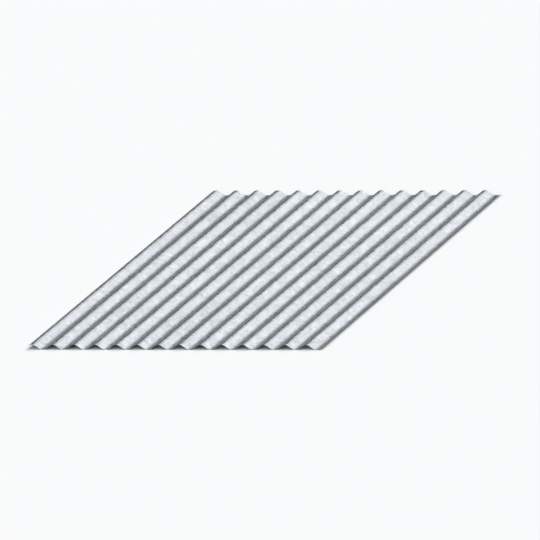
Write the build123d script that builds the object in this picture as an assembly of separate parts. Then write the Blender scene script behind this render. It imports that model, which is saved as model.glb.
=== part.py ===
from build123d import *
import math
import os

# A roll-formed corrugated steel sheet, lying flat on its troughs.
# The waves run along Y and repeat across X. Up is +Z.
# The origin is on the floor, under the middle of the sheet.
# All sizes are in millimetres, and angles in degrees.

length = 1800.0  # along the corrugations
pitch = 76.0  # from one crest to the next
wave_count = 14  # whole waves, from mid-flank to mid-flank
depth = 18.0  # overall, from the underside of a trough to the top of a crest
thickness = 0.6  # of the steel, zinc coating included
flank_angle = 37.0  # of the straight flanks between two bends, from level

# The middle line of the steel is straight flanks joined by tangent bends.
flank_turn = math.radians(flank_angle)
half_pitch = pitch / 2
middle_height = depth / 2
middle_rise = depth - thickness
flank_rise = half_pitch * math.tan(flank_turn)
bend_radius = (flank_rise - middle_rise) / (2 / math.cos(flank_turn) - 2)

sheet_width = wave_count * pitch


def edge_point(x, offset):
    """A point on the rising flank that crosses mid-height at x, offset square to the steel."""
    return (
        x - offset * math.sin(flank_turn),
        middle_height + offset * math.cos(flank_turn),
    )


def bend(x, is_crest, offset):
    """The arc of one crest or trough, from left to right, offset square to the middle line."""
    if is_crest:
        centre_height = middle_height + middle_rise / 2 - bend_radius
        radius = bend_radius + offset
        return CenterArc((x, centre_height), radius, 90 + flank_angle, -2 * flank_angle)
    centre_height = middle_height - middle_rise / 2 + bend_radius
    radius = bend_radius - offset
    return CenterArc((x, centre_height), radius, 270 - flank_angle, 2 * flank_angle)


def wave_line(offset):
    """One face of the sheet as seen from its end: every bend and flank, left edge to right edge."""
    bends = []
    for number in range(2 * wave_count):
        x = -sheet_width / 2 + (number + 0.5) * half_pitch
        bends.append(bend(x, number % 2 == 0, offset))
    stops = [edge_point(-sheet_width / 2, offset)]
    for arc in bends:
        stops += [arc @ 0, arc @ 1]
    stops.append(edge_point(sheet_width / 2, offset))
    flanks = [Line(a, b) for a, b in zip(stops[0::2], stops[1::2])]
    return Wire(flanks + bends)


def corrugated_sheet():
    """The sheet: its wavy section, run along the whole length."""
    upper = wave_line(thickness / 2)
    lower = wave_line(-thickness / 2)
    left_edge = Line(lower @ 0, upper @ 0)
    right_edge = Line(upper @ 1, lower @ 1)
    section = make_face(upper.edges() + lower.edges() + [left_edge, right_edge])
    return extrude(Plane.XZ * section, length / 2, both=True)


sheet = corrugated_sheet()
print("bend radius", round(bend_radius, 2), "width", sheet_width)
print("box", sheet.bounding_box(), "volume", round(sheet.volume))
os.makedirs("parts", exist_ok=True)
export_step(sheet, "parts/corrugated_sheet.step")
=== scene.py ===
import bmesh
import bpy
import math
from mathutils import Matrix, Vector


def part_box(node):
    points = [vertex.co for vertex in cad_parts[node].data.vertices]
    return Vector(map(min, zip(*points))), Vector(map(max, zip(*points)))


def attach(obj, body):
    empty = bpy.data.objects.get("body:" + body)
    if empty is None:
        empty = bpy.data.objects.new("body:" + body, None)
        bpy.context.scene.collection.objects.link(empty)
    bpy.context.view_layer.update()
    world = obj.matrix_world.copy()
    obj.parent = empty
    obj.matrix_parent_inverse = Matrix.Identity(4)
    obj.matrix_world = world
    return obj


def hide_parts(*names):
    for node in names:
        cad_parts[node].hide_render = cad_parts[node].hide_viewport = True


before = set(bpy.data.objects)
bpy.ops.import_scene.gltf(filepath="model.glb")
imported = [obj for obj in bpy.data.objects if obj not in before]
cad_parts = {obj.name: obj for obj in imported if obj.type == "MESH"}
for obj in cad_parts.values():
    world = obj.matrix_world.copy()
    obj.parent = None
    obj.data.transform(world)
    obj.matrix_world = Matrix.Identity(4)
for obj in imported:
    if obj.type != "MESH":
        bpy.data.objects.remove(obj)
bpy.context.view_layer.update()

# A roll-formed corrugated sheet of galvanised steel, lying flat on a pale studio floor.
# All sizes are in metres. The waves run along Y and repeat across X.

MM = 0.001
WAVE_COUNT = 14
THICKNESS = 0.6 * MM  # of the steel, zinc included
FLANK_TURN = math.radians(37.0)  # of the straight flanks between two bends, from level

# The sheet stays a hair inside the solid's own box on every side.
HAIR = Vector((0.01, 0.01, 0.01)) * MM
solid_low, solid_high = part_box("corrugated_sheet")
sheet_low = solid_low + HAIR
sheet_high = solid_high - HAIR
sheet_length = sheet_high.y - sheet_low.y
middle_width = sheet_high.x - sheet_low.x - THICKNESS * math.sin(FLANK_TURN)
pitch = middle_width / WAVE_COUNT
middle_height = (sheet_low.z + sheet_high.z) / 2
middle_rise = sheet_high.z - sheet_low.z - THICKNESS

# The middle line of the steel is straight flanks joined by tangent bends, as in the solid.
flank_rise = pitch / 2 * math.tan(FLANK_TURN)
bend_radius = (flank_rise - middle_rise) / (2 / math.cos(FLANK_TURN) - 2)
flank_run = pitch / 2 - 2 * bend_radius * math.sin(FLANK_TURN)
half_wave_steel = 2 * FLANK_TURN * bend_radius + flank_run / math.cos(FLANK_TURN)  # along the steel

BEND_STEPS = 16  # facets of one crest or trough
LENGTH_STEPS = 24  # facets along the sheet
SHEAR_ROUNDING = 0.08 * MM  # of the corners that the shear leaves
SHEAR_CORNER = math.radians(60)  # corners that turn more than this are the shear's
SHARP_TURN = math.radians(20)  # the bends' facets turn less than this and are shaded smooth

# The drawing's viewpoint: its long lines stay parallel and its front end is level in the picture.
VIEW_AZIMUTH = 21.83  # degrees to the right of straight on to the front end
VIEW_ELEVATION = 15.79  # degrees
VIEW_ROLL = 6.22  # degrees, the camera turned clockwise about its own line of sight
VIEW_WIDTH = 1.832  # of the frame, at the middle of the sheet
VIEW_AIM = (0.0190, -0.0086, 0.009)  # the place at the middle of the frame
LENS = 1500.0  # mm, so long that the waves keep their pitch to 2% from front to back
SENSOR = 36.0  # mm
FAR_CLIP = 300.0  # past the floor's far end

# The zinc's crystals and marks, at the size of the real ones.
SPANGLE = 12 * MM  # across one crystal
CRYSTAL_TILT = 0.06  # the steepest slope of a crystal, about three degrees
BORDER_BEND = 8.5 * MM  # between two bends of a crystal's border
WANDER = 4.2 * MM  # how far such a border strays
BORDER = 0.5 * MM  # across the faint groove where two crystals meet
BORDER_DEPTH = 0.01 * MM
RIB_GAP = 1.6 * MM  # between two ribs of a crystal
RIB_LENGTH = 13 * MM
RIB_DEPTH = 0.04 * MM  # deeper than real ribs, which wouldn't show
ROLL_MARK_GAP = 9 * MM  # between the faint marks that the rolls leave along the sheet
ROLL_MARK_LENGTH = 450 * MM
BATH_AREA = 380 * MM  # across a pale or dull area that the zinc bath leaves
UNDERSIDE_SHIFT = 4 * WAVE_COUNT * half_wave_steel  # takes the underside to crystals of its own

# How pale the zinc is: the weights of what sways it, half of each up and half down.
DARK_ZINC = "#a4aaaf"
PALE_ZINC = "#c9ced2"
CRYSTAL_TONE = 0.50
RIB_TONE = 0.70
ROLL_MARK_TONE = 0.35
BATH_TONE = 0.50
TONE_REACH = 0.6  # their sum where the zinc is palest, and less than nought by as much where darkest

# How dull the zinc is: its ribs count in full, and the others by these weights.
ZINC_ROUGHNESS = (0.225, 0.40)
CRYSTAL_DULLNESS = 0.5
FLANK_DULLNESS = 0.15  # more on a flank, and less on a crest or in a trough
DULLNESS_ENDS = (0.1, 1.2)  # their sum where the zinc is smoothest and where it is dullest

# The bare steel of the cut edges.
DARK_STEEL = "#84878a"
PALE_STEEL = "#b4b7b9"
STEEL_ROUGHNESS = (0.34, 0.56)
SHEAR_STREAK = 0.25 * MM  # between the streaks that the shear leaves across a cut edge

# The studio. A brightness of 1 is white.
FLOOR_SIZE = 60.0
FLOOR_PAINT = "#fafaf9"
ROOM_LIGHT = "#fbfcfe"
CEILING = 1.39
FRONT_WALL = 0.7
OTHER_WALLS = 0.08
COVE = 0.98  # as pale as the floor renders
COVE_EDGE = math.radians(0.8)  # the walls begin at this height
CEILING_EDGES = (math.radians(24), math.radians(53))  # the walls turn into it between these heights
FRONT_WALL_EDGES = (math.radians(18), math.radians(70))  # it fades out between these, left and right


def linear(hex_colour):
    """An sRGB hex colour as the linear colour that Blender's sockets take."""
    parts = [int(hex_colour[i:i + 2], 16) / 255 for i in (1, 3, 5)]
    return [p / 12.92 if p <= 0.04045 else ((p + 0.055) / 1.055) ** 2.4 for p in parts] + [1.0]


def add_node(tree, kind, values=None, links=None, **settings):
    """Adds a node with its settings, its inputs' values and the sockets they are linked to."""
    node = tree.nodes.new(kind)
    for name, value in settings.items():
        setattr(node, name, value)
    for name, value in (values or {}).items():
        node.inputs[name].default_value = value
    for name, source in (links or {}).items():
        tree.links.new(source, node.inputs[name])
    return node


def new_material(name):
    """A material with an empty node tree."""
    material = bpy.data.materials.new(name)
    material.use_nodes = True
    material.node_tree.nodes.clear()
    return material


def place_camera():
    """Looks along the drawing's lines from the front right, a little above the sheet."""
    azimuth = math.radians(VIEW_AZIMUTH)
    elevation = math.radians(VIEW_ELEVATION)
    back = Vector((
        math.sin(azimuth) * math.cos(elevation),
        -math.cos(azimuth) * math.cos(elevation),
        math.sin(elevation),
    ))
    data = bpy.data.cameras.new("camera")
    data.lens = LENS
    data.sensor_width = SENSOR
    data.clip_end = FAR_CLIP
    camera = bpy.data.objects.new("camera", data)
    camera.location = Vector(VIEW_AIM) + back * VIEW_WIDTH * LENS / SENSOR
    level_look = (-back).to_track_quat("-Z", "Y").to_matrix()
    roll = Matrix.Rotation(math.radians(-VIEW_ROLL), 3, "Z")
    camera.rotation_euler = (level_look @ roll).to_euler()
    bpy.context.scene.collection.objects.link(camera)
    bpy.context.scene.camera = camera


def run_flank(strip, tip, share, is_rising):
    """Runs straight on from the tip for a share of one flank, and gives the new tip."""
    run = share * flank_run
    rise = run * math.tan(FLANK_TURN)
    new_tip = bmesh.ops.extrude_vert_indiv(strip, verts=[tip])["verts"][0]
    new_tip.co += Vector((run, 0, rise if is_rising else -rise))
    return new_tip


def turn_bend(strip, tip, x, is_crest):
    """Turns the tip round the crest or trough at x, and gives the new tip."""
    side = 1 if is_crest else -1
    centre = (x, 0, middle_height + side * (middle_rise / 2 - bend_radius))
    made = bmesh.ops.spin(
        strip, geom=[tip], cent=centre, axis=(0, 1, 0), angle=side * 2 * FLANK_TURN,
        steps=BEND_STEPS, use_merge=False, use_duplicate=False,
    )
    return made["geom_last"][0]


def rolled_underside():
    """The rolled strip's lower face, from left edge to right: flank, bend, flank, bend."""
    strip = bmesh.new()
    start = Vector((-middle_width / 2, sheet_low.y, middle_height))
    below = Vector((math.sin(FLANK_TURN), 0, -math.cos(FLANK_TURN))) * THICKNESS / 2
    tip = strip.verts.new(start + below)
    for number in range(2 * WAVE_COUNT):
        is_crest = number % 2 == 0
        x = (number + 0.5) * pitch / 2 - middle_width / 2
        tip = run_flank(strip, tip, 1.0 if number else 0.5, is_crest)
        tip = turn_bend(strip, tip, x, is_crest)
    run_flank(strip, tip, 0.5, True)
    return strip


def measure_across(strip):
    """Keeps each point's distance from the left edge along the steel, for the finish to follow."""
    across = strip.verts.layers.float.new("across")
    strip.verts.ensure_lookup_table()
    travelled = 0.0
    for before, vert in zip(strip.verts[:-1], strip.verts[1:]):
        travelled += (vert.co - before.co).length
        vert[across] = travelled


def unroll(strip):
    """Lays the finish out on the flat strip, in metres: across it from the left edge, and along it."""
    across = strip.verts.layers.float["across"]
    flat = strip.loops.layers.uv.new("flat_strip")
    for face in strip.faces:
        shift = UNDERSIDE_SHIFT if face.normal.z < 0 else 0.0
        for loop in face.loops:
            loop[flat].uv = (loop.vert[across] + shift, loop.vert.co.y)


def mark_sheared_edges(strip):
    """Gives the second finish to the faces that the shear cut, which stand square to the strip."""
    across = strip.verts.layers.float["across"]
    for face in strip.faces:
        places = ([vert[across] for vert in face.verts], [vert.co.y for vert in face.verts])
        if any(max(place) - min(place) < THICKNESS / 2 for place in places):
            face.material_index = 1


def rolled_sheet():
    """The whole sheet, with its thickness and its sheared edges."""
    strip = rolled_underside()
    measure_across(strip)
    swept = bmesh.ops.extrude_edge_only(strip, edges=strip.edges[:])["geom"]
    back_end = [part for part in swept if isinstance(part, bmesh.types.BMVert)]
    bmesh.ops.translate(strip, verts=back_end, vec=(0, sheet_length, 0))
    lengthwise = [e for e in strip.edges if abs(e.verts[0].co.y - e.verts[1].co.y) > sheet_length / 2]
    bmesh.ops.subdivide_edges(strip, edges=lengthwise, cuts=LENGTH_STEPS - 1, use_grid_fill=True)
    bmesh.ops.recalc_face_normals(strip, faces=strip.faces[:])
    bmesh.ops.solidify(strip, geom=strip.faces[:], thickness=THICKNESS)
    mark_sheared_edges(strip)
    bmesh.ops.bevel(
        strip, geom=[edge for edge in strip.edges if edge.calc_face_angle(0.0) > SHEAR_CORNER],
        offset=SHEAR_ROUNDING, segments=2, affect="EDGES", profile=0.5, material=-1, clamp_overlap=True,
    )
    unroll(strip)
    mesh = bpy.data.meshes.new("rolled_sheet")
    strip.to_mesh(mesh)
    strip.free()
    mesh.shade_smooth()
    mesh.set_sharp_from_angle(angle=SHARP_TURN)
    sheet = bpy.data.objects.new("rolled_sheet", mesh)
    bpy.context.scene.collection.objects.link(sheet)
    return sheet


def bend_borders(tree, flat):
    """Shifts each place a little before the crystals are cut, so that their borders wander."""
    wander = add_node(
        tree, "ShaderNodeTexNoise", {"Scale": 1 / BORDER_BEND, "Detail": 3.0},
        {"Vector": flat.outputs["UV"]}, noise_dimensions="2D",
    )
    centred = add_node(
        tree, "ShaderNodeVectorMath", {1: (0.5, 0.5, 0.5)}, {0: wander.outputs["Color"]},
        operation="SUBTRACT",
    )
    return add_node(
        tree, "ShaderNodeVectorMath", {1: (WANDER, WANDER, WANDER)},
        {0: centred.outputs[0], 2: flat.outputs["UV"]}, operation="MULTIPLY_ADD",
    )


def grow_ribs(tree, shifted, chance):
    """Fine ribs, which run their own way in each crystal."""
    turn = add_node(
        tree, "ShaderNodeMath", {1: math.tau}, {0: chance.outputs["Red"]}, operation="MULTIPLY",
    )
    turned = add_node(
        tree, "ShaderNodeVectorRotate",
        links={"Vector": shifted.outputs[0], "Angle": turn.outputs[0]}, rotation_type="Z_AXIS",
    )
    rib_place = add_node(
        tree, "ShaderNodeMapping", {"Scale": (1 / RIB_GAP, 1 / RIB_LENGTH, 1.0)},
        {"Vector": turned.outputs["Vector"]},
    )
    return add_node(
        tree, "ShaderNodeTexNoise", {"Scale": 1.0, "Detail": 2.0},
        {"Vector": rib_place.outputs["Vector"]}, noise_dimensions="2D",
    )


def colour_zinc(tree, flat, chance, ribs):
    """Pale or dark zinc: mostly by crystal and rib, and a little by the rolls and the bath."""
    # The rolls leave faint marks along the sheet, and the bath leaves broad pale and dull areas.
    mark_place = add_node(
        tree, "ShaderNodeMapping", {"Scale": (1 / ROLL_MARK_GAP, 1 / ROLL_MARK_LENGTH, 1.0)},
        {"Vector": flat.outputs["UV"]},
    )
    marks = add_node(
        tree, "ShaderNodeTexNoise", {"Scale": 1.0, "Detail": 3.0},
        {"Vector": mark_place.outputs["Vector"]}, noise_dimensions="2D",
    )
    areas = add_node(
        tree, "ShaderNodeTexNoise", {"Scale": 1 / BATH_AREA, "Detail": 2.0},
        {"Vector": flat.outputs["UV"]}, noise_dimensions="2D",
    )
    tone = None
    for source, weight in (
        (chance.outputs["Green"], CRYSTAL_TONE),
        (ribs.outputs["Fac"], RIB_TONE),
        (marks.outputs["Fac"], ROLL_MARK_TONE),
        (areas.outputs["Fac"], BATH_TONE),
    ):
        part = add_node(
            tree, "ShaderNodeMath", {1: weight, 2: -weight / 2}, {0: source}, operation="MULTIPLY_ADD",
        )
        if tone:
            part = add_node(
                tree, "ShaderNodeMath", links={0: tone.outputs[0], 1: part.outputs[0]}, operation="ADD",
            )
        tone = part
    lightness = add_node(
        tree, "ShaderNodeMapRange", {"From Min": -TONE_REACH, "From Max": TONE_REACH},
        {"Value": tone.outputs[0]},
    )
    return add_node(
        tree, "ShaderNodeMix", {6: linear(DARK_ZINC), 7: linear(PALE_ZINC)},
        {0: lightness.outputs["Result"]}, data_type="RGBA",
    )


def dull_zinc(tree, flat, chance, ribs):
    """Dull or bright zinc: by crystal and rib, and brighter where the rolls pressed hardest."""
    frozen = add_node(
        tree, "ShaderNodeMath", {1: CRYSTAL_DULLNESS},
        {0: chance.outputs["Blue"], 2: ribs.outputs["Fac"]}, operation="MULTIPLY_ADD",
    )

    # The rolls press hardest on the crests and troughs, which come out a little smoother.
    apart = add_node(tree, "ShaderNodeSeparateXYZ", links={"Vector": flat.outputs["UV"]})
    wave_turn = add_node(
        tree, "ShaderNodeMath", {1: math.tau / half_wave_steel}, {0: apart.outputs["X"]},
        operation="MULTIPLY",
    )
    on_flank = add_node(tree, "ShaderNodeMath", links={0: wave_turn.outputs[0]}, operation="COSINE")
    pressed = add_node(
        tree, "ShaderNodeMath", {1: FLANK_DULLNESS}, {0: on_flank.outputs[0], 2: frozen.outputs[0]},
        operation="MULTIPLY_ADD",
    )
    return add_node(
        tree, "ShaderNodeMapRange",
        {
            "From Min": DULLNESS_ENDS[0],
            "From Max": DULLNESS_ENDS[1],
            "To Min": ZINC_ROUGHNESS[0],
            "To Max": ZINC_ROUGHNESS[1],
        },
        {"Value": pressed.outputs[0]},
    )


def raise_relief(tree, shifted, crystal, ribs):
    """Each crystal's own slight tilt, with ribs across it and a shallow groove round it."""
    tilt = add_node(
        tree, "ShaderNodeMix", {0: CRYSTAL_TILT, 6: (0.5, 0.5, 1.0, 1.0)},
        {7: crystal.outputs["Color"]}, data_type="RGBA",
    )
    tilted = add_node(
        tree, "ShaderNodeNormalMap", links={"Color": tilt.outputs[2]}, uv_map="flat_strip",
    )
    ribbed = add_node(
        tree, "ShaderNodeBump", {"Distance": RIB_DEPTH},
        {"Height": ribs.outputs["Fac"], "Normal": tilted.outputs["Normal"]},
    )
    to_border = add_node(
        tree, "ShaderNodeTexVoronoi", {"Scale": 1 / SPANGLE}, {"Vector": shifted.outputs[0]},
        voronoi_dimensions="2D", feature="DISTANCE_TO_EDGE",
    )
    plateau = add_node(
        tree, "ShaderNodeMapRange", {"From Max": BORDER / 2 / SPANGLE},
        {"Value": to_border.outputs["Distance"]}, interpolation_type="SMOOTHSTEP",
    )
    return add_node(
        tree, "ShaderNodeBump", {"Distance": BORDER_DEPTH},
        {"Height": plateau.outputs["Result"], "Normal": ribbed.outputs["Normal"]},
    )


def galvanised_steel():
    """Hot-dip galvanised steel: zinc frozen into flat crystals, each a little paler or duller."""
    material = new_material("hot_dip_galvanised_steel")
    tree = material.node_tree
    flat = add_node(tree, "ShaderNodeUVMap", uv_map="flat_strip")
    shifted = bend_borders(tree, flat)
    crystal = add_node(
        tree, "ShaderNodeTexVoronoi", {"Scale": 1 / SPANGLE}, {"Vector": shifted.outputs[0]},
        voronoi_dimensions="2D",
    )
    chance = add_node(tree, "ShaderNodeSeparateColor", links={"Color": crystal.outputs["Color"]})
    ribs = grow_ribs(tree, shifted, chance)
    colour = colour_zinc(tree, flat, chance, ribs)
    roughness = dull_zinc(tree, flat, chance, ribs)
    relief = raise_relief(tree, shifted, crystal, ribs)
    shader = add_node(
        tree, "ShaderNodeBsdfPrincipled", {"Metallic": 1.0},
        {
            "Base Color": colour.outputs[2],
            "Roughness": roughness.outputs["Result"],
            "Normal": relief.outputs["Normal"],
        },
    )
    add_node(tree, "ShaderNodeOutputMaterial", links={"Surface": shader.outputs["BSDF"]})
    return material


def sheared_steel():
    """Bare steel where the shear cut: darker than the zinc, with fine streaks across the cut."""
    material = new_material("sheared_bare_steel")
    tree = material.node_tree
    flat = add_node(tree, "ShaderNodeUVMap", uv_map="flat_strip")
    streaks = add_node(
        tree, "ShaderNodeTexNoise", {"Scale": 1 / SHEAR_STREAK, "Detail": 2.0},
        {"Vector": flat.outputs["UV"]}, noise_dimensions="2D",
    )
    colour = add_node(
        tree, "ShaderNodeMix", {6: linear(DARK_STEEL), 7: linear(PALE_STEEL)},
        {0: streaks.outputs["Fac"]}, data_type="RGBA",
    )
    roughness = add_node(
        tree, "ShaderNodeMapRange", {"To Min": STEEL_ROUGHNESS[0], "To Max": STEEL_ROUGHNESS[1]},
        {"Value": streaks.outputs["Fac"]},
    )
    shader = add_node(
        tree, "ShaderNodeBsdfPrincipled", {"Metallic": 1.0},
        {"Base Color": colour.outputs[2], "Roughness": roughness.outputs["Result"]},
    )
    add_node(tree, "ShaderNodeOutputMaterial", links={"Surface": shader.outputs["BSDF"]})
    return material


def studio_floor():
    """Matt white paint: bright, without a gleam, so that only the sheet's own shadow shows on it."""
    material = new_material("matt_white_floor_paint")
    tree = material.node_tree
    shader = add_node(tree, "ShaderNodeBsdfDiffuse", {"Color": linear(FLOOR_PAINT)})
    add_node(tree, "ShaderNodeOutputMaterial", links={"Surface": shader.outputs["BSDF"]})
    plane = bmesh.new()
    bmesh.ops.create_grid(plane, x_segments=1, y_segments=1, size=FLOOR_SIZE / 2)
    mesh = bpy.data.meshes.new("studio_floor")
    plane.to_mesh(mesh)
    plane.free()
    mesh.materials.append(material)
    floor = bpy.data.objects.new("studio_floor", mesh)
    bpy.context.scene.collection.objects.link(floor)


def studio_room():
    """A bright ceiling over dark walls, with a lighter one in front, for the steel to mirror."""
    world = bpy.data.worlds.new("studio_room")
    bpy.context.scene.world = world
    world.use_nodes = True
    tree = world.node_tree
    tree.nodes.clear()
    place = add_node(tree, "ShaderNodeTexCoord")
    direction = add_node(tree, "ShaderNodeSeparateXYZ", links={"Vector": place.outputs["Generated"]})
    walls = add_node(
        tree, "ShaderNodeMapRange",
        {
            "From Min": -math.cos(FRONT_WALL_EDGES[0]),
            "From Max": -math.cos(FRONT_WALL_EDGES[1]),
            "To Min": FRONT_WALL,
            "To Max": OTHER_WALLS,
        },
        {"Value": direction.outputs["Y"]},
    )
    upward = add_node(
        tree, "ShaderNodeMapRange",
        {"From Min": math.sin(CEILING_EDGES[0]), "From Max": math.sin(CEILING_EDGES[1])},
        {"Value": direction.outputs["Z"]},
    )
    room = add_node(
        tree, "ShaderNodeMix", {3: CEILING},
        {0: upward.outputs["Result"], 2: walls.outputs["Result"]}, data_type="FLOAT",
    )

    # A level view looks past the floor's end. What it sees there is as pale as the floor.
    above_cove = add_node(
        tree, "ShaderNodeMath", {1: math.sin(COVE_EDGE)}, {0: direction.outputs["Z"]},
        operation="GREATER_THAN",
    )
    around = add_node(
        tree, "ShaderNodeMix", {2: COVE}, {0: above_cove.outputs[0], 3: room.outputs[0]},
        data_type="FLOAT",
    )
    light = add_node(
        tree, "ShaderNodeBackground", {"Color": linear(ROOM_LIGHT)}, {"Strength": around.outputs[0]},
    )
    add_node(tree, "ShaderNodeOutputWorld", links={"Surface": light.outputs["Background"]})


def softbox(name, place, size, brightness):
    """A rectangular softbox that faces the middle of the sheet."""
    data = bpy.data.lights.new(name, "AREA")
    data.shape = "RECTANGLE"
    data.size, data.size_y = size
    data.energy = brightness * math.pi * size[0] * size[1]
    light = bpy.data.objects.new(name, data)
    light.location = place
    light.rotation_euler = (-Vector(place)).to_track_quat("-Z", "Y").to_euler()
    light.visible_camera = False
    bpy.context.scene.collection.objects.link(light)


place_camera()
sheet = rolled_sheet()
sheet.data.materials.append(galvanised_steel())
sheet.data.materials.append(sheared_steel())
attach(sheet, "root")
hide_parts("corrugated_sheet")

studio_floor()
studio_room()
# The softboxes are large and far off, so that the floor is as bright on all sides of the sheet.
softbox("back_softbox", place=(2.0, 74.0, 36.0), size=(49.0, 24.0), brightness=1.3)
softbox("flank_softbox", place=(14.0, 72.0, 34.0), size=(18.0, 19.0), brightness=1.6)
softbox("front_softbox", place=(-16.0, -70.0, 38.0), size=(56.0, 28.0), brightness=1.2)
bpy.context.scene.view_settings.view_transform = "Standard"

bpy.context.view_layer.update()
